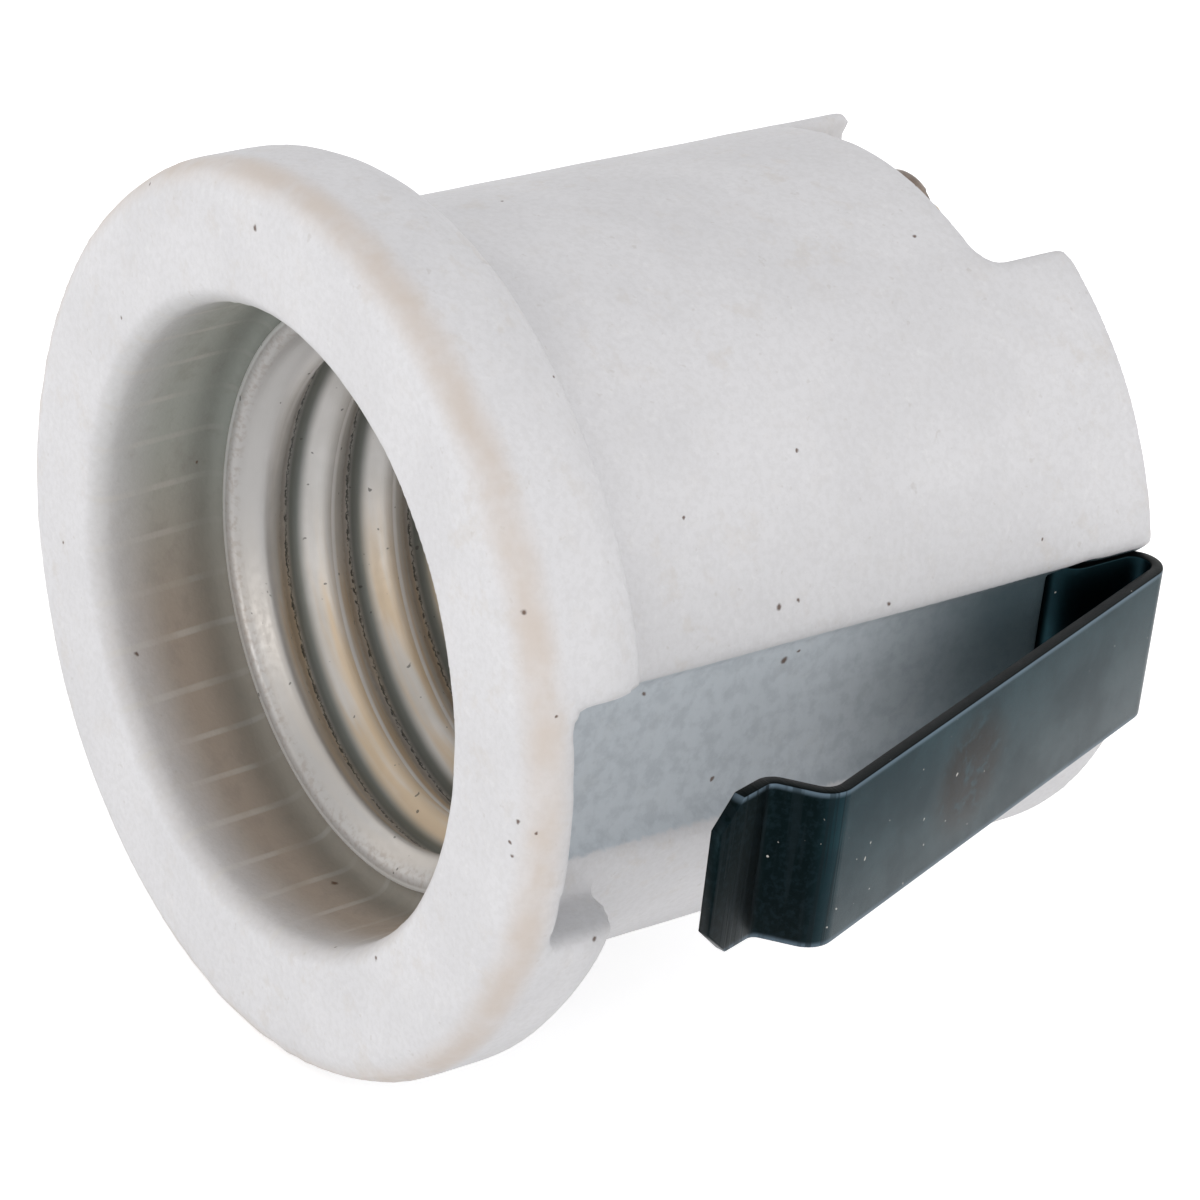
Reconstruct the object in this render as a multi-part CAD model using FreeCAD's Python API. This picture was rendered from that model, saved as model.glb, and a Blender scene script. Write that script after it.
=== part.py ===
import FreeCAD, Part
import math
import os

# Snap-in lamp holder: a one-piece porcelain body with a drawn screw shell inside,
# a sprung centre contact, two screw terminals behind and two spring steel clips.
# Millimetres. The axis runs along Y with the mouth facing -Y, the clips lie on +X
# and -X and the wire gap runs along Z. The origin is on the axis, in the plane of the
# flange's rear face, which seats on the panel.

# Porcelain body
flange_overhang = 3.7
flange_thickness = 7.1
flange_front_round = 1.5
flange_rear_round = 2.1
barrel_wall = 4.35
body_length = 26.1
mouth_clearance = 1.0
mouth_edge_bevel = 0.7
seat_corner_bevel = 0.45
lug_height = 5.6
lug_gap = 16.4
lug_corner_round = 1.0
rear_edge_bevel = 0.5
channel_depth = 1.4
channel_side_clearance = 0.2
notch_width = 12.0
web_thickness = 2.5
floor_thickness = 4.3

# Screw shell, drawn from thin sheet; its wall stands at the root of the round thread
thread_root_radius = 13.3
sheet = 0.35
lip_width = 1.0
lip_depth = 6.8
cup_corner_bevel = 1.2
cup_clearance = 0.03
shell_seat_clearance = 0.3
shell_window_radius = 10.7
shell_tab_height = 6.9

# Sprung centre contact
contact_radius = 3.5
contact_flange_radius = 4.5
contact_wall = 0.5
contact_reach = 2.9
contact_bevel = 0.7
contact_shoulder = 0.9
contact_clearance = 0.15
spring_wire = 0.25
spring_turns = 5
spring_side_clearance = 0.35
spring_end_clearance = 0.05

# Terminals
terminal_thickness = 0.9
terminal_width = 10.4
terminal_round = 1.2
terminal_margin = 1.0
strap_rivet_gap = 1.0
terminal_gap = 0.7
screw_margin = 4.1
screw_head_radius = 3.2
screw_head_height = 1.9
screw_head_bevel = 0.6
screw_end_bevel = 0.4
screw_slot_width = 0.9
screw_slot_depth = 1.0
screw_shank_radius = 1.7
screw_length = 3.4
screw_clearance = 0.06
screw_well_clearance = 0.5
washer_side = 6.6
washer_thickness = 0.8
washer_corner = 0.6

# Rivets
rivet_shank_radius = 1.1
rivet_head_radius = 1.7
rivet_head_height = 0.6
rivet_clearance = 0.1
shell_rivet_spread = 3.6
shell_rivet_inset = 4.4
strap_rivet_spread = 3.4
strap_rivet_offset = 7.0

# Spring clips, folded from flat strip
strip_width = 8.0
strip_thickness = 0.6
bend_radius = 1.03
tongue_bend_radius = 1.3
tongue_length = 1.5
tongue_setback = 5.1
bend_setback = 1.45
leg_angle = 19.6
knee_spread = 10.6
knee_radius = 1.2
slope_angle = 50.0
slope_length = 3.0
valley_radius = 0.8
lip_angle = 15.0
lip_length = 3.5
lip_corner = 1.45
pocket_front_clearance = 0.15
pocket_depth_clearance = 0.9

# Places that follow from the sizes above
mouth_plane = -flange_thickness
rim_plane = mouth_plane + lip_depth
shoulder_plane = rim_plane + sheet
rear_plane = body_length
lug_plane = rear_plane + lug_height
floor_plane = rear_plane - floor_thickness
cup_plane = floor_plane - cup_clearance
shell_rim_radius = thread_root_radius + lip_width
shell_bore_radius = thread_root_radius + sheet + shell_seat_clearance
mouth_radius = shell_rim_radius + mouth_clearance
body_radius = shell_bore_radius + barrel_wall
flange_radius = body_radius + flange_overhang
channel_floor = body_radius - channel_depth
channel_half = strip_width / 2 + channel_side_clearance
web_plane = mouth_plane + web_thickness
strip_middle = channel_floor + strip_thickness / 2
tongue_plane = lug_plane - tongue_setback
terminal_face = rear_plane + terminal_thickness
washer_face = terminal_face + washer_thickness
terminal_end = body_radius - terminal_margin
screw_offset = body_radius - screw_margin
shell_rivet_offset = thread_root_radius - shell_rivet_inset
strap_end = shell_rivet_offset - rivet_head_radius - strap_rivet_gap
neutral_start = strap_end + terminal_gap
beyond = 2 * flange_radius

# Straight runs in each turn of the coil spring
spring_steps = 14

X = FreeCAD.Vector(1, 0, 0)
Y = FreeCAD.Vector(0, 1, 0)
Z = FreeCAD.Vector(0, 0, 1)
ORIGIN = FreeCAD.Vector(0, 0, 0)


def point(x, y, z=0.0):
    return FreeCAD.Vector(x, y, z)


def corner(before, here, after, radius):
    """Return where an arc of this radius starts, its middle and where it ends."""
    back = (before - here).normalize()
    ahead = (after - here).normalize()
    half_angle = back.getAngle(ahead) / 2
    cut = radius / math.tan(half_angle)
    inward = (back + ahead).normalize()
    middle = here + inward * (radius / math.sin(half_angle) - radius)
    return here + back * cut, middle, here + ahead * cut


def rounded_edges(points, radii, closed):
    """Join points by straight lines, with an arc of the given radius at each corner."""
    edges = []
    count = len(points)
    last = None
    first = None
    for index in range(count):
        here = points[index]
        if radii[index] and (closed or 0 < index < count - 1):
            start, middle, end = corner(points[index - 1], here, points[(index + 1) % count], radii[index])
            arc = Part.Arc(start, middle, end).toShape()
        else:
            start = end = here
            arc = None
        if last is not None and last.distanceToPoint(start) > 1e-6:
            edges.append(Part.makeLine(last, start))
        if arc:
            edges.append(arc)
        if first is None:
            first = start
        last = end
    if closed and last.distanceToPoint(first) > 1e-6:
        edges.append(Part.makeLine(last, first))
    return edges


def outline(corners):
    """Make a closed face from (a, b, corner radius) triples in the XY plane."""
    points = [point(a, b) for a, b, _ in corners]
    edges = rounded_edges(points, [radius for _, _, radius in corners], True)
    return Part.Face(Part.Wire(edges))


def turned(corners):
    """Revolve a (radius, y, corner radius) outline about the Y axis, its seam towards -Z."""
    solid = outline(corners).revolve(ORIGIN, Y, 360)
    solid.rotate(ORIGIN, Y, 90)
    return solid


def plate(corners, y, thickness):
    """Extrude an (x, z, corner radius) outline along Y, starting at y."""
    face = outline(corners)
    face.rotate(ORIGIN, X, 90)
    solid = face.extrude(Y * thickness)
    solid.translate(Y * y)
    return solid


def block(x0, x1, y0, y1, z0, z1):
    return Part.makeBox(x1 - x0, y1 - y0, z1 - z0, point(x0, y0, z0))


def rod(radius, y0, y1, x=0.0, z=0.0):
    return Part.makeCylinder(radius, y1 - y0, point(x, y0, z), Y)


def half_turn(shape):
    """The same shape turned half round the lamp holder's axis."""
    copy = shape.copy()
    copy.rotate(ORIGIN, Y, 180)
    return copy


def upside(shape):
    """The same shape mirrored to the lower side."""
    return shape.mirror(ORIGIN, Z)


# Spring clip: one strip. A tongue hooks into the lug, the inner leg lies on the channel
# floor, a tight bend turns it back and the long leg runs out to the knee and the lip.


def clip_path():
    """Centre line of the strip, from the tongue's tip to the lip's end."""
    slant = math.radians(leg_angle)
    slope = math.radians(slope_angle)
    lip = math.radians(lip_angle)
    bend_y = lug_plane - bend_setback
    bend_corner = point(strip_middle, bend_y + bend_radius / math.tan(slant / 2))
    knee_x = body_radius + knee_spread - strip_thickness / 2
    run = (knee_x - strip_middle) / math.sin(slant)
    knee = bend_corner + point(math.sin(slant), -math.cos(slant)) * run
    valley = knee + point(-math.sin(slope), -math.cos(slope)) * slope_length
    end = valley + point(math.sin(lip), -math.cos(lip)) * lip_length
    tongue = point(strip_middle, tongue_plane)
    tip = tongue - X * (tongue_bend_radius + tongue_length)
    points = [tip, tongue, bend_corner, knee, valley, end]
    radii = [0, tongue_bend_radius, bend_radius, knee_radius, valley_radius, 0]
    return points, radii


def offset_path(points, radii, distance):
    """Move a path sideways, mitred at its corners, and change its bends to suit."""
    moved = []
    bends = []
    for index, here in enumerate(points):
        normals = []
        for start, end in ((index - 1, index), (index, index + 1)):
            if 0 <= start and end < len(points):
                along = (points[end] - points[start]).normalize()
                normals.append(point(along.y, -along.x))
        middle = sum(normals, ORIGIN).normalize()
        reach = distance / middle.dot(normals[0])
        moved.append(here + middle * reach)
        turn = 0
        if len(normals) == 2:
            turn = math.copysign(1, normals[0].cross(normals[1]).z)
        bends.append(radii[index] + turn * distance if radii[index] else 0)
    return moved, bends


def spring_clip():
    points, radii = clip_path()
    half = strip_thickness / 2
    near, near_radii = offset_path(points, radii, -half)
    far, far_radii = offset_path(points, radii, half)
    edges = rounded_edges(near, near_radii, False)
    edges.append(Part.makeLine(near[-1], far[-1]))
    edges += [edge for edge in reversed(rounded_edges(far, far_radii, False))]
    edges.append(Part.makeLine(far[0], near[0]))
    face = Part.Face(Part.Wire(Part.__sortEdges__(edges)))
    strip = face.extrude(Z * strip_width)
    strip.translate(Z * (-strip_width / 2))
    return strip.cut(lip_corners(points[-2], points[-1]))


def lip_corners(valley, end):
    """Two wedges that crop the lip's corners at 45 degrees."""
    ahead = (end - valley).normalize()
    across = point(ahead.y, -ahead.x) * strip_width
    wedges = []
    for side in (1, -1):
        tip = end + Z * (side * strip_width / 2)
        inner = tip - Z * (side * lip_corner)
        back = tip - ahead * lip_corner
        past = ahead * lip_corner
        out = Z * (side * lip_corner)
        loop = [inner + past, inner, back, back + out, tip + out + past, inner + past]
        wedge = Part.Face(Part.makePolygon([p - across / 2 for p in loop])).extrude(across)
        wedges.append(wedge)
    return Part.makeCompound(wedges)


# Porcelain body: one pressed and fired piece.


def eased_edge(y, size, side):
    """An outer edge of the flange at y, eased by two flats as wide as a round of this size."""
    middle = size * (1 - math.cos(math.pi / 4))
    insets = [(size, 0), (middle, middle), (0, size)]
    return [(flange_radius - inset, y + side * rise, 0) for inset, rise in insets]


def body_turned():
    """Flange, barrel and rear, with the mouth, the shell's seat and the floor inside."""
    return turned([
        (mouth_radius, mouth_plane + mouth_edge_bevel, 0),
        (mouth_radius + mouth_edge_bevel, mouth_plane, 0),
        *eased_edge(mouth_plane, flange_front_round, 1),
        *reversed(eased_edge(0, flange_rear_round, -1)),
        (body_radius, 0, 0),
        (body_radius, lug_plane, 0),
        (0, lug_plane, 0),
        (0, floor_plane, 0),
        (shell_bore_radius, floor_plane, 0),
        (shell_bore_radius, shoulder_plane, 0),
        (mouth_radius - seat_corner_bevel, shoulder_plane, 0),
        (mouth_radius, shoulder_plane - seat_corner_bevel, 0),
    ])


def wire_gap():
    """The gap between the two rear lugs, open above, below and behind."""
    half = lug_gap / 2
    profile = outline([
        (-half, rear_plane, lug_corner_round),
        (half, rear_plane, lug_corner_round),
        (half, lug_plane + 1, 0),
        (-half, lug_plane + 1, 0),
    ])
    gap = profile.extrude(Z * (2 * body_radius + 2))
    gap.translate(Z * (-body_radius - 1))
    return gap


def clip_channel():
    """The flat-bottomed channel along the barrel on +X, up to the flange's front web."""
    return block(channel_floor, beyond, web_plane, lug_plane + 1, -channel_half, channel_half)


def flange_notch():
    """The gap through the rear of the flange that the clip's lip moves in."""
    half = notch_width / 2
    gap = block(0, beyond, web_plane, body_length / 2, -half, half)
    return gap.cut(rod(body_radius, web_plane - 1, body_length))


def tongue_pocket():
    """The blind pocket in a lug that the clip's tongue hooks into."""
    front = tongue_plane - strip_thickness / 2 - pocket_front_clearance
    back = tongue_plane + tongue_bend_radius
    tip = strip_middle - tongue_bend_radius - tongue_length
    return block(tip - pocket_depth_clearance, channel_floor + 1, front, back, -channel_half, channel_half)


def contact_hole():
    """The stepped hole through the floor that guides the centre contact."""
    guide = rod(contact_radius + contact_clearance, floor_plane - 1, rear_plane + 1)
    shoulder = floor_plane + contact_shoulder
    return guide.fuse(rod(contact_flange_radius + contact_clearance, shoulder, rear_plane + 1))


def rivet_places():
    """The (x, z) places of the shell's rivets above and the strap's rivets below."""
    shell = [(side * shell_rivet_spread, shell_rivet_offset) for side in (1, -1)]
    strap = [(side * strap_rivet_spread, -strap_rivet_offset) for side in (1, -1)]
    return shell, strap


def screw_well(side):
    """The blind hole behind a terminal that its screw's end reaches into."""
    depth = screw_length - terminal_thickness - washer_thickness + screw_well_clearance
    return rod(screw_shank_radius + screw_well_clearance, rear_plane - depth, rear_plane + 1, 0, side * screw_offset)


def is_rear_edge(edge):
    """An outer edge of the lugs or of the wire gap's floor."""
    if edge.BoundBox.YMin < rear_plane - 0.01:
        return False
    reach = [math.hypot(place.x, place.z) for place in edge.discretize(5)]
    on_barrel = min(reach) > body_radius - 0.01
    return on_barrel or (edge.BoundBox.YMin > lug_plane - 0.01 and max(reach) > lug_gap / 2)


def porcelain_body():
    body = body_turned().cut(wire_gap())
    body = body.makeChamfer(rear_edge_bevel, [edge for edge in body.Edges if is_rear_edge(edge)])
    tools = [contact_hole(), screw_well(1), screw_well(-1)]
    for cutter in (flange_notch(), clip_channel(), tongue_pocket()):
        tools += [cutter, half_turn(cutter)]
    for places in rivet_places():
        for x, z in places:
            tools.append(rod(rivet_shank_radius + rivet_clearance, floor_plane - 1, rear_plane + 1, x, z))
    for tool in tools:
        body = body.cut(tool)
    return body.removeSplitter()


# Screw shell: a cup drawn from thin sheet, with a flared lip on the shoulder, a bevelled
# bottom corner and a window around the contact that leaves a tab for the rivets.


def screw_shell():
    wall = thread_root_radius + sheet
    bottom = cup_plane - cup_corner_bevel
    shell = turned([
        (shell_rim_radius, rim_plane, 0),
        (shell_rim_radius, shoulder_plane, 0),
        (wall, shoulder_plane, 0),
        (wall, bottom, 0),
        (wall - cup_corner_bevel, cup_plane, 0),
        (0, cup_plane, 0),
        (0, cup_plane - sheet, 0),
        (thread_root_radius - cup_corner_bevel, cup_plane - sheet, 0),
        (thread_root_radius, bottom - sheet, 0),
        (thread_root_radius, rim_plane, 0),
    ])
    window = rod(shell_window_radius, floor_plane - 2 * sheet, floor_plane + 1)
    window = window.cut(block(-beyond, beyond, rim_plane, rear_plane, shell_tab_height, beyond))
    shell = shell.cut(window)
    for x, z in rivet_places()[0]:
        shell = shell.cut(rod(rivet_shank_radius + rivet_clearance / 2, floor_plane - 1, rear_plane, x, z))
    return shell


# Centre contact: a drawn cup with a bevelled end, pushed forward by a coil spring.


def centre_contact():
    tip = floor_plane - contact_reach
    back = floor_plane + contact_shoulder + contact_wall
    inner = contact_radius - contact_wall
    return turned([
        (0, tip, 0),
        (contact_radius - contact_bevel, tip, 0),
        (contact_radius, tip + contact_bevel, 0),
        (contact_radius, back - contact_wall, 0),
        (contact_flange_radius, back - contact_wall, 0),
        (contact_flange_radius, back, 0),
        (inner, back, 0),
        (inner, tip + contact_bevel + contact_wall, 0),
        (inner - contact_bevel, tip + contact_wall, 0),
        (0, tip + contact_wall, 0),
    ])


def contact_spring():
    """A coil from the inside of the contact's end back to the line strap."""
    start = floor_plane - contact_reach + contact_bevel + contact_wall + spring_wire + spring_end_clearance
    end = rear_plane - spring_wire - spring_end_clearance
    coil = contact_radius - contact_wall - spring_side_clearance - spring_wire
    path = []
    for step in range(spring_turns * spring_steps + 1):
        angle = 2 * math.pi * step / spring_steps
        rise = (end - start) * step / (spring_turns * spring_steps)
        path.append(point(coil * math.cos(angle), start + rise, coil * math.sin(angle)))
    section = [path[0] + (X * math.cos(turn) + Y * math.sin(turn)) * spring_wire for turn in hexagon()]
    wire = Part.makePolygon(section + section[:1])
    return Part.makePolygon(path).makePipeShell([wire], True, False, 1)


def hexagon():
    return [math.pi / 3 * corner_index for corner_index in range(6)]


# Terminals: brass straps on the rear floor, each with a binding screw and a washer.


def tapped_hole(side):
    return rod(screw_shank_radius + screw_clearance, rear_plane - 1, washer_face + 1, 0, side * screw_offset)


def terminal(low, high):
    """A rounded strap on the rear floor that runs from z low to z high."""
    half = terminal_width / 2
    sides = [(half, low), (half, high), (-half, high), (-half, low)]
    return plate([(x, z, terminal_round) for x, z in sides], rear_plane, terminal_thickness)


def neutral_terminal_plate():
    strap = terminal(neutral_start, terminal_end).cut(tapped_hole(1))
    for x, z in rivet_places()[0]:
        strap = strap.cut(rod(rivet_shank_radius + rivet_clearance / 2, rear_plane - 1, rear_plane + 2, x, z))
    return strap


def line_terminal_strap():
    strap = terminal(-terminal_end, strap_end).cut(tapped_hole(-1))
    for x, z in rivet_places()[1]:
        strap = strap.cut(rod(rivet_shank_radius + rivet_clearance / 2, rear_plane - 1, rear_plane + 2, x, z))
    return strap


def terminal_screw():
    """A slotted binding screw with a bevelled head, on the upper terminal."""
    head_top = washer_face + screw_head_height
    end = washer_face - screw_length
    screw = turned([
        (0, end, 0),
        (screw_shank_radius - screw_end_bevel, end, 0),
        (screw_shank_radius, end + screw_end_bevel, 0),
        (screw_shank_radius, washer_face, 0),
        (screw_head_radius, washer_face, 0),
        (screw_head_radius, head_top - screw_head_bevel, 0),
        (screw_head_radius - screw_head_bevel, head_top, 0),
        (0, head_top, 0),
    ])
    half = screw_slot_width / 2
    slot = block(-beyond, beyond, head_top - screw_slot_depth, head_top + 1, -half, half)
    screw = screw.cut(slot)
    screw.translate(Z * screw_offset)
    return screw


def clamp_washer():
    """A square pressure washer with rounded corners, under the upper screw's head."""
    half = washer_side / 2
    sides = [(half, -half), (half, half), (-half, half), (-half, -half)]
    washer = plate([(x, z, washer_corner) for x, z in sides], terminal_face, washer_thickness)
    washer = washer.cut(rod(screw_shank_radius + screw_clearance, rear_plane, washer_face + 1))
    washer.translate(Z * screw_offset)
    return washer


def rivet(x, z, front, back):
    """A rivet through the floor, its flat heads at the front and back planes."""
    body = rod(rivet_shank_radius, front, back, x, z)
    for start in (front - rivet_head_height, back):
        body = body.fuse(rod(rivet_head_radius, start, start + rivet_head_height, x, z))
    return body.removeSplitter()


def rivet_pair(places, front):
    return Part.makeCompound([rivet(x, z, front, terminal_face) for x, z in places])


def build():
    right_clip = spring_clip()
    screw = terminal_screw()
    washer = clamp_washer()
    shell_places, strap_places = rivet_places()
    return {
        "porcelain_body": porcelain_body(),
        "screw_shell": screw_shell(),
        "centre_contact": centre_contact(),
        "contact_spring": contact_spring(),
        "neutral_terminal_plate": neutral_terminal_plate(),
        "line_terminal_strap": line_terminal_strap(),
        "neutral_terminal_screw": screw,
        "line_terminal_screw": upside(screw),
        "neutral_clamp_washer": washer,
        "line_clamp_washer": upside(washer),
        "shell_rivets": rivet_pair(shell_places, cup_plane - sheet),
        "line_strap_rivets": rivet_pair(strap_places, floor_plane),
        "right_spring_clip": right_clip,
        "left_spring_clip": half_turn(right_clip),
    }


os.makedirs("parts", exist_ok=True)
for name, shape in build().items():
    shape.exportStep("parts/" + name + ".step")
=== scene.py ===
import math

import bmesh
import bpy
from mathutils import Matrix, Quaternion, Vector, noise
from mathutils.bvhtree import BVHTree


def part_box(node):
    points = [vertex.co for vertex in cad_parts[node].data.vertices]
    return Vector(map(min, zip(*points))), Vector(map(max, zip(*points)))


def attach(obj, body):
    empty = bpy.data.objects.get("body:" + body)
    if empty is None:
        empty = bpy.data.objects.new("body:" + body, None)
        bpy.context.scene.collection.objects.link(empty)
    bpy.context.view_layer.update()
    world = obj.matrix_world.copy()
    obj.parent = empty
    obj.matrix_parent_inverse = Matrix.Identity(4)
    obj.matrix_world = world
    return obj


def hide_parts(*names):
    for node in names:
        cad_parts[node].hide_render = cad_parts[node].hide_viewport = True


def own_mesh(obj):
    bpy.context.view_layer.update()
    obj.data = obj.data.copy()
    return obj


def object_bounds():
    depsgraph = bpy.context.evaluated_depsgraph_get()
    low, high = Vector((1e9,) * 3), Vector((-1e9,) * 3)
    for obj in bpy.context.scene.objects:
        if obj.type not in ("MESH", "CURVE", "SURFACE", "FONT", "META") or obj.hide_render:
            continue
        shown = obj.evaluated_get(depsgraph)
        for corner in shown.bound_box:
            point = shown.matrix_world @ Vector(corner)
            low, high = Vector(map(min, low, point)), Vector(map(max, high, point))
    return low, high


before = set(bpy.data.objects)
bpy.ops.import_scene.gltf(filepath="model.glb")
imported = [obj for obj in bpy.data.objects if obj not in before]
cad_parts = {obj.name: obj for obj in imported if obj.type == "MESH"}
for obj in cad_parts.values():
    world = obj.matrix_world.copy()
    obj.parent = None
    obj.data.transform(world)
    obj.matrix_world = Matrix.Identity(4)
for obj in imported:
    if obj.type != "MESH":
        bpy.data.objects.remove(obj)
cad_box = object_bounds()

# Camera: the photograph's view of the holder, looking into the mouth from the right, with a
# long lens from about 23 cm away. It comes first because the specks below are placed by it.
mm = 0.001
camera_place = Vector((167.59, -120.0, 114.4)) * mm
camera_aim = Vector((-0.68709, 0.54395, -0.48171))
camera_roll = math.radians(6.464)
nearest_shown = 10 * mm
photo_side = 1200
lens_in_pixels = 5000
sensor_width = 36.0

camera = bpy.data.objects.new("camera", bpy.data.cameras.new("camera"))
camera.data.sensor_width = sensor_width
camera.data.lens = sensor_width * lens_in_pixels / photo_side
camera.data.clip_start = nearest_shown
camera.location = camera_place
camera.rotation_mode = "QUATERNION"
camera.rotation_quaternion = (camera_aim.to_track_quat("-Z", "Y")
                              @ Quaternion((0, 0, 1), camera_roll))
bpy.context.scene.collection.objects.link(camera)
bpy.context.scene.camera = camera


def sight(pixel):
    """The direction in which the camera sees a pixel of the photograph."""
    across = (pixel[0] - photo_side / 2) / lens_in_pixels
    down = (pixel[1] - photo_side / 2) / lens_in_pixels
    return (camera.rotation_quaternion @ Vector((across, -down, -1))).normalized()


# Porcelain body: hard-paste porcelain, dry-pressed in a steel die and fired unglazed, in one
# piece. Pressing leaves soft edges, an uneven skin, and a low rim round the rear face, which
# hides the terminals from the side.
flange_radius = 22.0 * mm
mouth_radius = 15.3 * mm
flange_front = -7.1 * mm
web_plane = -4.6 * mm
channel_half = 4.2 * mm
barrel_end = 26.1 * mm
weld = 0.002 * mm
skin_step = 0.37 * mm
skin_softness = 0.5
skin_smoothing = 4
skin_wander = 0.035 * mm
skin_wander_size = 5 * mm
ripple_share = 0.5
ripple_rate = 2.7
rim_start = 17.2 * mm
rim_slope = 0.6 * mm
rim_rise = 0.95 * mm
rim_reach = 1.8 * mm
rim_fade = 0.6 * mm
rim_fade_length = 4.0 * mm


def merged_copy(node, name):
    """A new object with a CAD node's mesh, its loose triangles joined."""
    work = bmesh.new()
    work.from_mesh(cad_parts[node].data)
    bmesh.ops.remove_doubles(work, verts=work.verts, dist=weld)
    mesh = bpy.data.meshes.new(name)
    work.to_mesh(mesh)
    work.free()
    copy = bpy.data.objects.new(name, mesh)
    bpy.context.scene.collection.objects.link(copy)
    return copy


def apply_modifiers(piece):
    """Keep the modified mesh as the piece's own."""
    graph = bpy.context.evaluated_depsgraph_get()
    mesh = bpy.data.meshes.new_from_object(piece.evaluated_get(graph))
    piece.modifiers.clear()
    piece.data = mesh


def smooth(share):
    """Carry a share from 0 to 1 with soft ends."""
    share = min(max(share, 0.0), 1.0)
    return share * share * (3 - 2 * share)


porcelain = merged_copy("porcelain_body", "fired_porcelain")
skin = porcelain.modifiers.new("skin", "REMESH")
skin.mode = "VOXEL"
skin.voxel_size = skin_step
soften = porcelain.modifiers.new("soft edges", "SMOOTH")
soften.factor = skin_softness
soften.iterations = skin_smoothing
apply_modifiers(porcelain)
normals = [vertex.normal.copy() for vertex in porcelain.data.vertices]
for vertex, normal in zip(porcelain.data.vertices, normals):
    outer = smooth((math.hypot(vertex.co.x, vertex.co.z) - rim_start) / rim_slope)
    rise = rim_rise - rim_fade * smooth((vertex.co.y - barrel_end) / rim_fade_length)
    vertex.co.y += rise * outer * smooth((vertex.co.y - barrel_end + rim_reach) / rim_reach)
    wave = vertex.co / skin_wander_size
    wander = noise.noise(wave) + ripple_share * noise.noise(wave * ripple_rate)
    vertex.co += normal * wander * skin_wander
porcelain.data.shade_smooth()

# Iron specks where the photograph shows them: across, down and width, in its pixels.
speck_pixels = [
    (779, 607, 7), (784, 660, 8), (524, 612, 6), (644, 694, 5), (712, 779, 5), (889, 604, 5),
    (914, 236, 5), (255, 228, 6), (518, 822, 5), (510, 842, 5), (512, 856, 4), (537, 833, 4),
    (556, 717, 4), (150, 184, 4), (121, 317, 4), (502, 201, 4), (554, 377, 4), (797, 451, 4),
    (1042, 539, 4), (684, 518, 4), (334, 883, 7), (336, 947, 4), (376, 959, 5), (594, 939, 6),
    (403, 1082, 5), (137, 654, 5), (197, 462, 4), (63, 542, 4), (799, 651, 4), (798, 600, 4),
]
surface = BVHTree.FromObject(porcelain, bpy.context.evaluated_depsgraph_get())
specks = []
for across, down, width in speck_pixels:
    spot, _, _, distance = surface.ray_cast(camera_place, sight((across, down)))
    if spot:
        specks.append((spot, width / lens_in_pixels * distance / 2))

# A mask fades with soft ends, and masks join by their product.
soft_ends = {"interpolation_type": "SMOOTHSTEP"}
product = {"operation": "MULTIPLY"}


def linear(code):
    """An sRGB hex colour as the linear colour that a shader takes."""
    parts = [int(code[start:start + 2], 16) / 255 for start in (1, 3, 5)]
    parts = [part / 12.92 if part <= 0.04045 else ((part + 0.055) / 1.055) ** 2.4 for part in parts]
    return (*parts, 1)


def add(tree, kind, inputs=(), output=0, **settings):
    """Add one node with its settings and its values or links, and return one of its outputs."""
    node = tree.nodes.new("ShaderNode" + kind)
    for name, value in settings.items():
        setattr(node, name, value)
    for key, value in inputs.items() if isinstance(inputs, dict) else enumerate(inputs):
        if isinstance(value, bpy.types.NodeSocket):
            tree.links.new(value, node.inputs[key])
        else:
            node.inputs[key].default_value = value
    return node.outputs[output] if node.outputs else node


def start_material(name, **grain_sizes):
    """An empty material, the place on the object that its patterns read, and its grains.

    A grain is soft noise, given by the size of its blotches in mm, its detail and roughness."""
    material = bpy.data.materials.new(name)
    material.use_nodes = True
    tree = material.node_tree
    tree.nodes.clear()
    place = add(tree, "TexCoord", output="Object")
    grains = {}
    for grain, (size, detail, roughness) in grain_sizes.items():
        grains[grain] = add(tree, "TexNoise", {"Vector": place, "Scale": 1 / (size * mm),
                                               "Detail": detail, "Roughness": roughness})
    return material, tree, place, grains


def tinted(tree, colour, *layers):
    """Lay tints over a colour in turn, each as strong as the product of its masks."""
    for tint, share, *masks in layers:
        for mask in masks:
            share = add(tree, "Math", (share, mask), **product)
        tint = linear(tint) if isinstance(tint, str) else tint
        colour = add(tree, "Mix", {0: share, 6: colour, 7: tint}, output=2, data_type="RGBA")
    return colour


def near(tree, place, centre, full, gone):
    """1 within a distance of a point on the surface, falling to 0."""
    distance = add(tree, "VectorMath", (place, centre), output="Value", operation="DISTANCE")
    return add(tree, "MapRange", (distance, full, gone, 1.0, 0.0), **soft_ends)


def finish_material(tree, height, strength, depth, **sockets):
    """The fine relief and the shader, with its values and links by socket name."""
    relief = add(tree, "Bump", {"Height": height, "Strength": strength, "Distance": depth})
    inputs = {name.replace("_", " "): value for name, value in sockets.items()}
    shader = add(tree, "BsdfPrincipled", {"Normal": relief, **inputs})
    add(tree, "OutputMaterial", {"Surface": shader})


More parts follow.
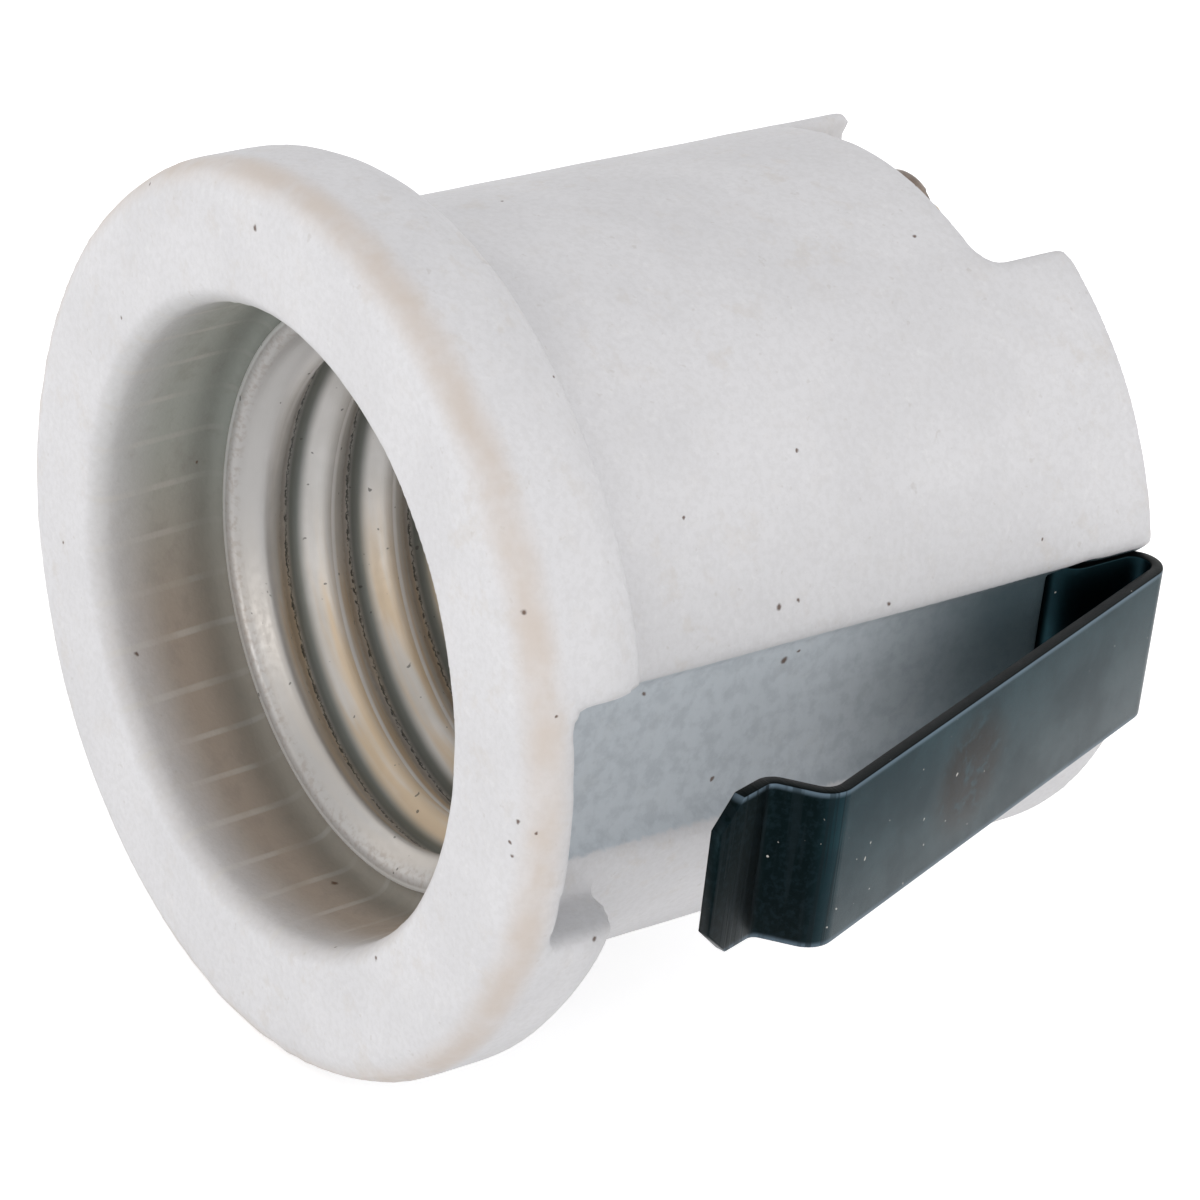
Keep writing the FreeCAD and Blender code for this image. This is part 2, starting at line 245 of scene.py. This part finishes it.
# Unglazed porcelain gives a matt, faintly blue-white skin with a sandy bite and a few beige
# stains. Its sand is drawn coarser than the real grit, which is too fine to show.
material, tree, place, grains = start_material(
    "fired_unglazed_porcelain", blotches=(7, 4, 0.55), flecks=(0.6, 3, 0.6),
    crumbs=(0.55, 2, 0.55), sand=(0.34, 4, 0.65), stains=(1.5, 4, 0.65),
    stained_areas=(9, 2, 0.55), rubbing=(3, 3, 0.55), grime=(1.1, 5, 0.65),
    line_wear=(2.2, 3, 0.55), damp=(1.0, 5, 0.65), swell=(1.6, 3, 0.5), pores=(0.22, 2, 0.5))
x, y, z = add(tree, "SeparateXYZ", (place,)).node.outputs
flat = add(tree, "CombineXYZ", (x, 0, z))
radius = add(tree, "VectorMath", (flat,), output="Value", operation="LENGTH")
angle = add(tree, "Math", (z, x), operation="ARCTAN2")
colour = tinted(
    tree, linear("#dad9da"),
    ("#d5d4d5", add(tree, "MapRange", (grains["blotches"], 0.38, 0.62), **soft_ends)),
    ("#eeedec", 0.16, add(tree, "MapRange", (grains["flecks"], 0.56, 0.72), **soft_ends)),
    ("#b7b1aa", 0.30, add(tree, "MapRange", (grains["crumbs"], 0.68, 0.76), **soft_ends)),
    ("#bfbdbb", 0.20, add(tree, "MapRange", (grains["sand"], 0.40, 0.64), **soft_ends)),
    ("#c5bbad", add(tree, "MapRange", (grains["stains"], 0.52, 0.68), **soft_ends),
     add(tree, "MapRange", (grains["stained_areas"], 0.42, 0.60, 0.05, 0.22), **soft_ends)))

# The pressed outer edge of the flange is rubbed, and stained beige along a soft band.
band_radius = flange_radius - 0.2 * mm
band_plane = flange_front + 0.95 * mm
band_core = 0.1 * mm
band_reach = 1.5 * mm
outwards = add(tree, "Math", (radius, band_radius), operation="SUBTRACT")
inwards = add(tree, "Math", (y, band_plane), operation="SUBTRACT")
away = add(tree, "VectorMath", (add(tree, "CombineXYZ", (outwards, inwards)),),
           output="Value", operation="LENGTH")
colour = tinted(
    tree, colour,
    ("#c9bdb2", add(tree, "MapRange", (away, band_core, band_reach, 1.0, 0.0), **soft_ends),
     add(tree, "MapRange", (grains["rubbing"], 0.3, 0.6, 0.40, 0.80), **soft_ends)))

# The mouth's wall is greyer and browner, with pale lines along the axis that the punch has
# drawn as it left; painted shade darkens it beside the shell's lip.
wall_reach = 0.9 * mm
mouth_end = 2.0 * mm
line_count = 37
line_jitter = 5.0
line_lean = 0.12 / mm
in_mouth = add(tree, "Math", (
    add(tree, "MapRange", (radius, mouth_radius + 0.1 * mm, mouth_radius + wall_reach, 1.0, 0.0),
        **soft_ends),
    add(tree, "MapRange", (y, 0.0, mouth_end, 1.0, 0.0), **soft_ends)), **product)
wall_tone = tinted(
    tree, linear("#a59687"),
    ("#adb0a8", add(tree, "MapRange", (z, -9 * mm, 4 * mm), **soft_ends)),
    ("#857c72", 0.28, add(tree, "MapRange", (grains["grime"], 0.46, 0.70), **soft_ends)))
jitter = add(tree, "TexNoise", {"Vector": flat, "Scale": 1 / (9 * mm), "Detail": 1.0,
                                "Roughness": 0.55})
swing = add(tree, "Math", (jitter, line_jitter), **product)
for value, rate in ((angle, line_count), (y, line_lean)):
    swing = add(tree, "Math", (value, rate, swing), operation="MULTIPLY_ADD")
stripes = add(tree, "Math", (swing,), operation="COSINE")
colour = tinted(
    tree, colour,
    (wall_tone, in_mouth,
     add(tree, "MapRange", (y, flange_front + 0.5 * mm, flange_front + 4.0 * mm, 0.20, 0.95),
         **soft_ends)),
    ("#d0ccc5", in_mouth, add(tree, "MapRange", (stripes, 0.86, 0.99), **soft_ends),
     add(tree, "MapRange", (grains["line_wear"], 0.35, 0.60, 0.1, 0.42), **soft_ends)),
    # Painted shade: the wall darkens towards the shell's lip.
    ("#5d625c", in_mouth,
     add(tree, "MapRange", (y, -3.0 * mm, -0.3 * mm, 0.0, 0.60), **soft_ends)))

# Each clip's channel keeps a bluish grey cast with a ragged edge, and painted shadow of the
# clip darkens its rear end.
channel_ragged = 0.4 * mm
clip_shadow_start = 11 * mm
clip_shadow_full = 24 * mm
aside = add(tree, "Math", (z,), operation="ABSOLUTE")
centred_sand = add(tree, "Math", (grains["sand"], 0.5), operation="SUBTRACT")
aside = add(tree, "Math", (centred_sand, channel_ragged, aside), operation="MULTIPLY_ADD")
in_channel = add(tree, "MapRange", (aside, channel_half - 0.05 * mm, channel_half + 0.15 * mm,
                                    1.0, 0.0), **soft_ends)
for value, gone, full in ((y, web_plane - 0.2 * mm, web_plane + 0.8 * mm),
                          (radius, mouth_radius + 0.6 * mm, mouth_radius + 1.0 * mm)):
    part = add(tree, "MapRange", (value, gone, full), **soft_ends)
    in_channel = add(tree, "Math", (in_channel, part), **product)
floor_tone = tinted(
    tree, linear("#b9c4cb"),
    ("#a4b0b8", add(tree, "MapRange", (grains["damp"], 0.42, 0.64), **soft_ends)))
colour = tinted(
    tree, colour,
    (floor_tone, in_channel, 0.65),
    # Painted shadow of the clip, darkest at the channel's rear end.
    ("#2e454c", in_channel,
     add(tree, "MapRange", (y, clip_shadow_start, clip_shadow_full, 0.0, 0.92), **soft_ends)))

# Iron in the clay burns through as brown specks with ragged edges.
speck_wander = 0.25 * mm
wander = add(tree, "TexNoise", {"Vector": place, "Scale": 1 / (0.35 * mm), "Detail": 2.0},
             output="Color")
wander = add(tree, "VectorMath", (wander, (0.5, 0.5, 0.5)), operation="SUBTRACT")
ragged_place = add(tree, "VectorMath", (wander, (speck_wander,) * 3, place),
                   operation="MULTIPLY_ADD")
spots = 0.0
for centre, size in specks:
    spot = near(tree, ragged_place, centre, size * 0.35, size * 1.35)
    spots = add(tree, "Math", (spots, spot), operation="MAXIMUM")
colour = tinted(tree, colour, ("#553a29", spots, 0.88))
height = add(tree, "Math", (grains["pores"], 0.35), **product)
height = add(tree, "Math", (grains["swell"], 0.6, height), operation="MULTIPLY_ADD")
gloss = add(tree, "MapRange", (grains["flecks"], 0.3, 0.7, 0.58, 0.72), **soft_ends)
finish_material(tree, height, 0.7, 0.06 * mm, Base_Color=colour, Roughness=gloss,
                Specular_IOR_Level=0.35)
porcelain.data.materials.append(material)
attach(porcelain, "holder")
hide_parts("porcelain_body")


# Screw shell: brass sheet 0.35 mm thick, drawn to a cup with a flared lip, its round thread
# rolled in from outside and then nickel-plated.
thread_pitch = 3.629 * mm
thread_root = 13.3 * mm
thread_depth = 1.05 * mm
thread_lead = 3.3 * mm
thread_length = 17.0 * mm
thread_margin = 0.2 * mm
thread_run_in = 0.9 * mm
thread_run_out = 2.5 * mm
shell_sheet = 0.35 * mm
shell_low, shell_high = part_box("screw_shell")
lip_plane = shell_low.y
lip_radius = shell_high.x
lip_bend = 0.65 * mm
cup_bottom = shell_high.y - shell_sheet
cup_corner = 1.2 * mm
window_radius = 10.7 * mm
turn_steps = 180
rows_per_turn = 24


def rolled_in(angle, y):
    """How far the wall is rolled in from the thread's root at this angle and depth."""
    turn = (y - lip_plane - thread_lead) / thread_pitch + angle / (2 * math.pi)
    entry = smooth((y - lip_plane - thread_margin) / thread_run_in)
    leave = smooth((lip_plane + thread_length - y) / thread_run_out)
    return thread_depth * entry * leave * (1 + math.cos(2 * math.pi * turn)) / 2


def spun(profile, steps):
    """Spin a (radius, y) profile once about the lamp axis and close its seam."""
    work = bmesh.new()
    points = [work.verts.new((radius, y, 0)) for radius, y in profile]
    edges = [work.edges.new(pair) for pair in zip(points, points[1:])]
    bmesh.ops.spin(work, geom=points + edges, cent=(0, 0, 0), axis=(0, 1, 0), dvec=(0, 0, 0),
                   angle=2 * math.pi, steps=steps, use_merge=True, use_duplicate=False)
    bmesh.ops.remove_doubles(work, verts=work.verts, dist=weld)
    return work


def draw_in(vertex, depth):
    """Move a point towards the lamp axis by a depth."""
    share = 1 - depth / math.hypot(vertex.co.x, vertex.co.z)
    vertex.co.x *= share
    vertex.co.z *= share


def keep(work, name):
    """Turn a finished bmesh into an object in the scene, its faces pointing outwards."""
    bmesh.ops.recalc_face_normals(work, faces=work.faces)
    mesh = bpy.data.meshes.new(name)
    work.to_mesh(mesh)
    work.free()
    mesh.shade_smooth()
    piece = bpy.data.objects.new(name, mesh)
    bpy.context.scene.collection.objects.link(piece)
    return piece


def quarter(centre, size, start, steps=6):
    """Points round a quarter circle about a (radius, y) centre, from a start angle."""
    turns = [math.radians(start + 90 * step / steps) for step in range(steps + 1)]
    return [(centre[0] + size * math.cos(turn), centre[1] + size * math.sin(turn))
            for turn in turns]


wall_start = lip_plane + lip_bend
wall_stop = cup_bottom - cup_corner
wall_rows = math.ceil((wall_stop - wall_start) / thread_pitch * rows_per_turn)
profile = [(lip_radius, lip_plane)]
profile += reversed(quarter((thread_root + lip_bend, wall_start), lip_bend, 180))
profile += [(thread_root, wall_start + (wall_stop - wall_start) * row / wall_rows)
            for row in range(1, wall_rows)]
profile += quarter((thread_root - cup_corner, wall_stop), cup_corner, 0)
profile.append((window_radius, cup_bottom))
work = spun(profile, turn_steps)
for vertex in work.verts:
    if lip_plane < vertex.co.y < wall_stop:
        draw_in(vertex, rolled_in(math.atan2(vertex.co.z, vertex.co.x), vertex.co.y))
shell = keep(work, "rolled_screw_shell")
sheet = shell.modifiers.new("sheet", "SOLIDIFY")
sheet.thickness = shell_sheet
sheet.offset = 1
apply_modifiers(shell)

# Nickel plate over rolled brass gives a satin grey; painted highlights whiten the crests,
# painted shade darkens the roots and a ragged line along each turn, and a painted reflection
# of brass casts gold low down. Rolling leaves fine rings.
# The rings are drawn coarser than the real ones, which are too fine to show.
ring_size = 0.10 * mm
brass_reflection_size = 1.2 * mm
material, tree, place, grains = start_material(
    "nickel_plated_rolled_brass", clouds=(4, 3, 0.55), dust=(0.30, 3, 0.6), dirt=(0.45, 1, 0.55))
x, y, z = add(tree, "SeparateXYZ", (place,)).node.outputs
dust = grains["dust"]
angle = add(tree, "Math", (z, x), operation="ARCTAN2")
radius = add(tree, "VectorMath", (add(tree, "CombineXYZ", (x, 0, z)),),
             output="Value", operation="LENGTH")
turns = add(tree, "Math", (add(tree, "Math", (y, thread_pitch), operation="DIVIDE"),
                           add(tree, "Math", (angle, 2 * math.pi), operation="DIVIDE")),
            operation="ADD")
turns = add(tree, "Math", (turns, (lip_plane + thread_lead) / thread_pitch),
            operation="SUBTRACT")
phase = add(tree, "Math", (turns,), operation="FRACT")
ragged_phase = add(tree, "Math", (
    phase, add(tree, "MapRange", (dust, 0.3, 0.7, -0.03, 0.03), **soft_ends)), operation="ADD")
ring_place = add(tree, "CombineXYZ", (add(tree, "Math", (angle, 1.0 * mm), **product), y))
# The second noise gives blotches to the painted gold reflection.
rings, glow = [add(tree, "TexNoise", {"Vector": ring_place, "Scale": 1 / size, "Detail": 3.0,
                                      "Roughness": 0.55}) for size in (ring_size, brass_reflection_size)]
on_thread = add(tree, "MapRange", (y, 1.2 * mm, 1.9 * mm), **soft_ends)
front = add(tree, "MapRange", (y, 0.7 * mm, 1.3 * mm, 1.0, 0.0), **soft_ends)


def along(turn, middle, full, gone):
    """1 on a stripe that follows the thread at this phase, where 0 is a crest, 0.5 a root."""
    away = add(tree, "Math", (turn, middle), operation="SUBTRACT")
    away = add(tree, "Math", (away,), operation="ABSOLUTE")
    stripe = add(tree, "MapRange", (away, full, gone, 1.0, 0.0), **soft_ends)
    return add(tree, "Math", (stripe, on_thread), **product)


# Lip, its rust and a painted highlight along its edge; painted gold reflection; then each
# turn's root in painted shade, brown flank, painted crest highlight and ragged line of
# painted shade; and dirt.
colour = tinted(
    tree, linear("#e2e0de"),
    ("#d6d4d1", add(tree, "MapRange", (grains["clouds"], 0.35, 0.65), **soft_ends)),
    ("#a9a7a5", front, 0.85),
    ("#8f7f74", add(tree, "MapRange", (y, 0.2 * mm, -0.1 * mm, 0.0, 0.35), **soft_ends),
     add(tree, "MapRange", (dust, 0.45, 0.65), **soft_ends)),
    # Painted highlight: a bright line along the lip's edge.
    ("#f2f1ef", 0.9, add(tree, "MapRange", (radius, lip_radius - 0.30 * mm,
                                            lip_radius - 0.12 * mm), **soft_ends)),
    # Painted reflection: a gold cast from the brass parts, low down.
    ("#dfc194", add(tree, "MapRange", (z, 0.0, -8 * mm), **soft_ends),
     add(tree, "MapRange", (glow, 0.40, 0.62, 0.1, 0.7), **soft_ends),
     add(tree, "MapRange", (front, 0.0, 1.0, 1.0, 0.15), **soft_ends)),
    # Painted shade in each root of the thread.
    ("#5d645f", 0.85, along(phase, 0.56, 0.03, 0.17)),
    ("#9a8b82", 0.35, along(ragged_phase, 0.34, 0.03, 0.09)),
    # Painted highlight along each crest.
    ("#ffffff", 0.8, along(phase, 0.03, 0.01, 0.06)),
    # Painted shade: a dark ragged line on the flank beside each root.
    ("#262a28", along(ragged_phase, 0.44, 0.008, 0.035),
     add(tree, "MapRange", (dust, 0.35, 0.55, 0.15, 0.85), **soft_ends)),
    ("#4c4a46", 0.7, add(tree, "MapRange", (grains["dirt"], 0.74, 0.78), **soft_ends)))
height = add(tree, "Math", (dust, 0.35), **product)
height = add(tree, "Math", (rings, 0.5, height), operation="MULTIPLY_ADD")
gloss = add(tree, "MapRange", (dust, 0.3, 0.7, 0.38, 0.48), **soft_ends)
finish_material(tree, height, 0.4, 0.03 * mm, Base_Color=colour, Metallic=0.3, Roughness=gloss)
shell.data.materials.append(material)
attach(shell, "holder")
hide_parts("screw_shell")


# Centre contact and its spring: a cup drawn from brass, and behind it a coil of bright steel
# wire, five turns, which is pressed flat as a lamp drives the contact back.
wire_radius = 0.25 * mm
wire_sides = 10
coil_turns = 5
steps_per_turn = 28
bright_edge = 0.12 * mm
mark_size = 0.12 * mm
mark_stretch = (1.0, 6.0, 1.0)


def metal(name, main, dark, patch, low, high):
    """A metal with soft patches of tarnish and fine rubbing marks, its gloss from low to high.

    The marks are drawn coarser than the real ones, which are too fine to show."""
    material, tree, place, grains = start_material(name, tarnish=(patch, 4, 0.55))
    turned = add(tree, "Mapping", {"Vector": place, "Scale": mark_stretch}, vector_type="POINT")
    marks = add(tree, "TexNoise", {"Vector": turned, "Scale": 1 / mark_size, "Detail": 2.0,
                                   "Roughness": 0.55})
    tarnish = add(tree, "MapRange", (grains["tarnish"], 0.40, 0.68), **soft_ends)
    gloss = add(tree, "MapRange", (marks, 0.3, 0.7, low, high), **soft_ends)
    finish_material(tree, marks, 0.2, 0.02 * mm, Metallic=1.0, Roughness=gloss,
                    Base_Color=tinted(tree, linear(main), (dark, tarnish)))
    return material


def dress(node, name, body, material, edge, sharp=40, trim=1.0):
    """Put a copy of a CAD node in its place, its edges broken and its outer edge trimmed."""
    piece = merged_copy(node, name)
    low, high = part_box(node)
    middle = (low + high) / 2
    for vertex in piece.data.vertices:
        vertex.co.x = middle.x + (vertex.co.x - middle.x) * trim
        vertex.co.z = middle.z + (vertex.co.z - middle.z) * trim
    edge_round = piece.modifiers.new("broken edges", "BEVEL")
    edge_round.width = edge
    edge_round.segments = 2
    edge_round.limit_method = "ANGLE"
    edge_round.angle_limit = math.radians(sharp)
    apply_modifiers(piece)
    piece.data.shade_smooth()
    piece.data.materials.clear()
    piece.data.materials.append(material)
    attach(piece, body)
    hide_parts(node)


# Drawn brass is warm, smooth and half bright, with browner patches.
brass = metal("drawn_brass", "#d2b782", "#b3965f", 2.5, 0.24, 0.36)
dress("centre_contact", "drawn_contact_cup", "contact", brass, bright_edge)

low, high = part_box("contact_spring")
coil_radius = high.x - wire_radius
coil_length = high.y - low.y - 2 * wire_radius
coil_steps = coil_turns * steps_per_turn
work = bmesh.new()
wire_end = bmesh.ops.create_circle(work, segments=wire_sides, radius=wire_radius,
                                   cap_ends=True)["verts"]
for vertex in wire_end:
    vertex.co = Vector((coil_radius + vertex.co.x, low.y + wire_radius + vertex.co.y, 0))
bmesh.ops.spin(work, geom=work.verts[:] + work.edges[:] + work.faces[:], cent=(0, 0, 0),
               axis=(0, -1, 0), dvec=(0, coil_length / coil_steps, 0),
               angle=2 * math.pi * coil_turns, steps=coil_steps, use_duplicate=False)
spring = keep(work, "coiled_contact_spring")
# Drawn spring wire is cool grey and bright, a little duller where it was coiled.
spring.data.materials.append(
    metal("bright_spring_wire", "#b9bbbd", "#8c8e90", 1.5, 0.20, 0.32))
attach(spring, "holder")
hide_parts("contact_spring")
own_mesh(spring)


# Terminals: straps stamped from brass strip, which lie on the rear floor and carry the
# screws. Stamped brass is satin, and handling and heat have left it a little brown.
terminal_brass = metal("stamped_terminal_brass", "#c6ad82", "#aa8f62", 3.0, 0.30, 0.45)
dress("neutral_terminal_plate", "stamped_neutral_plate", "holder",
      terminal_brass, bright_edge)
dress("line_terminal_strap", "stamped_line_strap", "holder",
      terminal_brass, bright_edge)


# Rivets: nickel-plated brass, closed by a spinning punch. It has rubbed the plate on their
# round heads, which are smooth and pale with a trace of yellow.
rivet_edge = 0.2 * mm
rivet_metal = metal("plated_rivet_brass", "#c9c2b2", "#b0a68f", 1.2, 0.24, 0.38)
dress("shell_rivets", "closed_shell_rivets", "holder", rivet_metal, rivet_edge)
dress("line_strap_rivets", "closed_strap_rivets", "holder", rivet_metal,
      rivet_edge)


# Terminal screws: steel, turned with a domed head, slotted, threaded and browned. A square
# washer, stamped from steel and zinc-plated, sits under each. Browning leaves the steel dull
# brown-grey with some shine, and old zinc is pale grey in duller patches.
screw_metal = metal("browned_screw_steel", "#94877d", "#6f6259", 1.6, 0.28, 0.42)
washer_metal = metal("zinc_plated_washer", "#b4b3ab", "#8a8981", 1.8, 0.34, 0.5)
washer_trim = 0.82
head_dome = 1.1 * mm
head_radius = 2.7 * mm
head_height = 1.9 * mm
head_corner = 0.15 * mm
dome_step = 9
shank_radius = 1.7 * mm
shank_point = 0.4 * mm
screw_pitch = 0.7 * mm
screw_thread_depth = 0.22 * mm
slot_half = 0.45 * mm
slot_depth = 0.9 * mm
slot_wall = 0.03 * mm
slot_turns = {"neutral": 35, "line": -20}
screw_steps = 64
rows_per_pitch = 10

for side, slot_turn in slot_turns.items():
    low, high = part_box(side + "_terminal_screw")
    middle = (low + high) / 2
    seat = high.y - head_height
    rim = high.y - head_dome
    thread_start = low.y + shank_point
    shank_rows = math.ceil((seat - low.y) / screw_pitch * rows_per_pitch)
    profile = [(0, low.y), (shank_radius - shank_point, low.y), (shank_radius, thread_start)]
    profile += [(shank_radius, thread_start + (seat - thread_start) * row / shank_rows)
                for row in range(1, shank_rows + 1)]
    profile += [(head_radius - head_corner, seat), (head_radius, seat + head_corner)]
    profile += [(head_radius * math.cos(math.radians(step)),
                 rim + head_dome * math.sin(math.radians(step)))
                for step in range(0, 91, dome_step)]
    work = spun(profile, screw_steps)
    for vertex in work.verts:
        reach = math.hypot(vertex.co.x, vertex.co.z)
        if thread_start <= vertex.co.y < seat and reach > shank_radius / 2:
            turn = vertex.co.y / screw_pitch + math.atan2(vertex.co.z, vertex.co.x) / (2 * math.pi)
            cut = screw_thread_depth * smooth((seat - vertex.co.y) / screw_pitch)
            draw_in(vertex, cut * (1 + math.cos(2 * math.pi * turn)) / 2)
    for wall in (slot_half, slot_half - slot_wall, slot_wall - slot_half, -slot_half):
        bmesh.ops.bisect_plane(work, geom=work.verts[:] + work.edges[:] + work.faces[:],
                               plane_co=(wall, 0, 0), plane_no=(1, 0, 0))
    for vertex in work.verts:
        if abs(vertex.co.x) < slot_half - slot_wall / 2:
            vertex.co.y = min(vertex.co.y, high.y - slot_depth)
    turned = Quaternion((0, 1, 0), math.radians(slot_turn))
    for vertex in work.verts:
        vertex.co = turned @ vertex.co + Vector((middle.x, 0, middle.z))
    screw = keep(work, side + "_slotted_screw")
    screw.data.materials.append(screw_metal)
    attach(screw, side + "_screw")
    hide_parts(side + "_terminal_screw")
    dress(side + "_clamp_washer", side + "_square_washer", side + "_washer",
          washer_metal, bright_edge, trim=washer_trim)


# Spring clips: hardened steel strip, folded, then blued and oiled. Blueing gives blue-grey
# faces, almost black sheared edges, lines drawn along the bends, and an oily patch in the
# middle of the long leg; a thin painted highlight runs beside the sheared edges.
clip_edge = 0.07 * mm
clip_sharp = 50
strip_half = 4.0 * mm
oil_place = (24.8 * mm, 15.3 * mm, 0.0)
oil_core = 1.6 * mm
oil_reach = 3.9 * mm
bend_line_size = 0.35 * mm
bend_line_stretch = 0.03
scratch_size = 0.10 * mm
scratch_stretch = (1.0, 1.0, 4.0)
material, tree, place, grains = start_material(
    "blued_spring_steel", patches=(4.5, 5, 0.6), oil=(0.9, 5, 0.7), mottle=(0.35, 4, 0.65),
    dust=(0.40, 1, 0.55))
x, y, z = add(tree, "SeparateXYZ", (place,)).node.outputs
aside = add(tree, "Math", (z,), operation="ABSOLUTE")
outwards = add(tree, "Math", (x,), operation="ABSOLUTE")
bend_place = add(tree, "CombineXYZ", (y, add(tree, "Math", (z, bend_line_stretch), **product)))
bend_lines = add(tree, "TexNoise", {"Vector": bend_place, "Scale": 1 / bend_line_size,
                                    "Detail": 2.0, "Roughness": 0.55})
bend_lines = add(tree, "Math", (
    add(tree, "MapRange", (bend_lines, 0.50, 0.60), **soft_ends),
    add(tree, "MapRange", (y, 5.6 * mm, 4.4 * mm), **soft_ends)), **product)
# Patches; the darker knee and lip; oil; mottling; the painted highlight beside the edges;
# drawn lines; sheared edges; and dust.
colour = tinted(
    tree, linear("#1e353b"),
    ("#192d33", add(tree, "MapRange", (grains["patches"], 0.38, 0.62), **soft_ends)),
    ("#060c0c", 0.9, add(tree, "MapRange", (y, 4.8 * mm, 3.4 * mm), **soft_ends)),
    ("#151310", 0.95, add(tree, "MapRange", (grains["oil"], 0.32, 0.50), **soft_ends),
     near(tree, place, oil_place, oil_core, oil_reach)),
    ("#1c292f", 0.30, add(tree, "MapRange", (grains["mottle"], 0.45, 0.65), **soft_ends)),
    # Painted highlight: a thin light line beside the outer leg's edges.
    ("#7f93a3", 0.35, add(tree, "MapRange", (aside, strip_half - 0.35 * mm,
                                             strip_half - 0.08 * mm), **soft_ends),
     add(tree, "MapRange", (outwards, 18.5 * mm, 20 * mm), **soft_ends)),
    ("#151d20", 0.6, bend_lines),
    ("#060a09", 0.97, add(tree, "MapRange", (aside, strip_half - 0.05 * mm,
                                             strip_half - 0.02 * mm), **soft_ends)),
    ("#c9c6bf", 0.6, add(tree, "MapRange", (grains["dust"], 0.77, 0.80), **soft_ends)))
turned = add(tree, "Mapping", {"Vector": place, "Scale": scratch_stretch}, vector_type="POINT")
scratches = add(tree, "TexNoise", {"Vector": turned, "Scale": 1 / scratch_size, "Detail": 3.0,
                                   "Roughness": 0.55})
height = add(tree, "Math", (scratches, bend_lines), operation="ADD")
gloss = add(tree, "MapRange", (grains["patches"], 0.35, 0.65, 0.36, 0.42), **soft_ends)
finish_material(tree, height, 0.25, 0.02 * mm, Base_Color=colour, Metallic=1.0, Roughness=gloss)
for side in ("right", "left"):
    dress(side + "_spring_clip", side + "_folded_clip", side + "_clip",
          material, clip_edge, clip_sharp)


# Studio: a sweep of white paper under the holder and broad soft lamps round it, as for a
# catalogue picture. The paper turns white to the camera and keeps the holder's shadow.
floor_gap = 0.05 * mm
floor_side = 3.0
paper_glow = 0.55
room_light = 0.84
white = (1, 1, 1, 1)
lamps = {
    "front soft box": ((0.05, -0.9, 0.05), 0.15, 1.3),
    "front left soft box": ((-0.8, -0.5, 0.2), 0.5, 1.4),
    "right low soft box": ((0.9, 0.0, -0.1), 0.5, 2.4),
    "right back soft box": ((0.85, 0.5, 0.45), 0.5, 1.2),
    "front right soft box": ((0.75, -0.7, 0.3), 0.5, 1.0),
}


def seen_white(tree):
    """1 for the rays that show the white background: the camera's, and through gloss or glass."""
    look = add(tree, "LightPath").node.outputs
    seen = look["Is Camera Ray"]
    for ray in ("Is Glossy Ray", "Is Transmission Ray"):
        seen = add(tree, "Math", (seen, look[ray]), operation="MAXIMUM")
    return seen


work = bmesh.new()
bmesh.ops.create_grid(work, x_segments=1, y_segments=1, size=floor_side / 2)
floor = keep(work, "floor")
for vertex in floor.data.vertices:
    vertex.co.z = cad_box[0][2] - floor_gap
# Matt white paper: soft, even, without shine.
material, tree, place, grains = start_material("white_sweep")
paper = add(tree, "BsdfDiffuse", {"Color": linear("#f2f2f2")})
glow = add(tree, "Emission", {"Color": white, "Strength": paper_glow})
both = add(tree, "AddShader", (paper, glow))
add(tree, "OutputMaterial", {"Surface": add(tree, "MixShader", (seen_white(tree), paper, both))})
floor.data.materials.append(material)

world = bpy.data.worlds.new("studio")
bpy.context.scene.world = world
world.use_nodes = True
tree = world.node_tree
tree.nodes.clear()
room = add(tree, "Background", {"Color": linear("#f8f8fa"), "Strength": room_light})
backdrop = add(tree, "Background", {"Color": white, "Strength": 1.0})
add(tree, "OutputWorld", {"Surface": add(tree, "MixShader", (seen_white(tree), room, backdrop))})

for name, (place, size, power) in lamps.items():
    light = bpy.data.lights.new(name, "AREA")
    light.size = size
    light.energy = power
    soft_box = bpy.data.objects.new(name, light)
    soft_box.location = place
    soft_box.rotation_mode = "QUATERNION"
    soft_box.rotation_quaternion = (-Vector(place)).to_track_quat("-Z", "Y")
    bpy.context.scene.collection.objects.link(soft_box)
bpy.context.scene.view_settings.view_transform = "Standard"
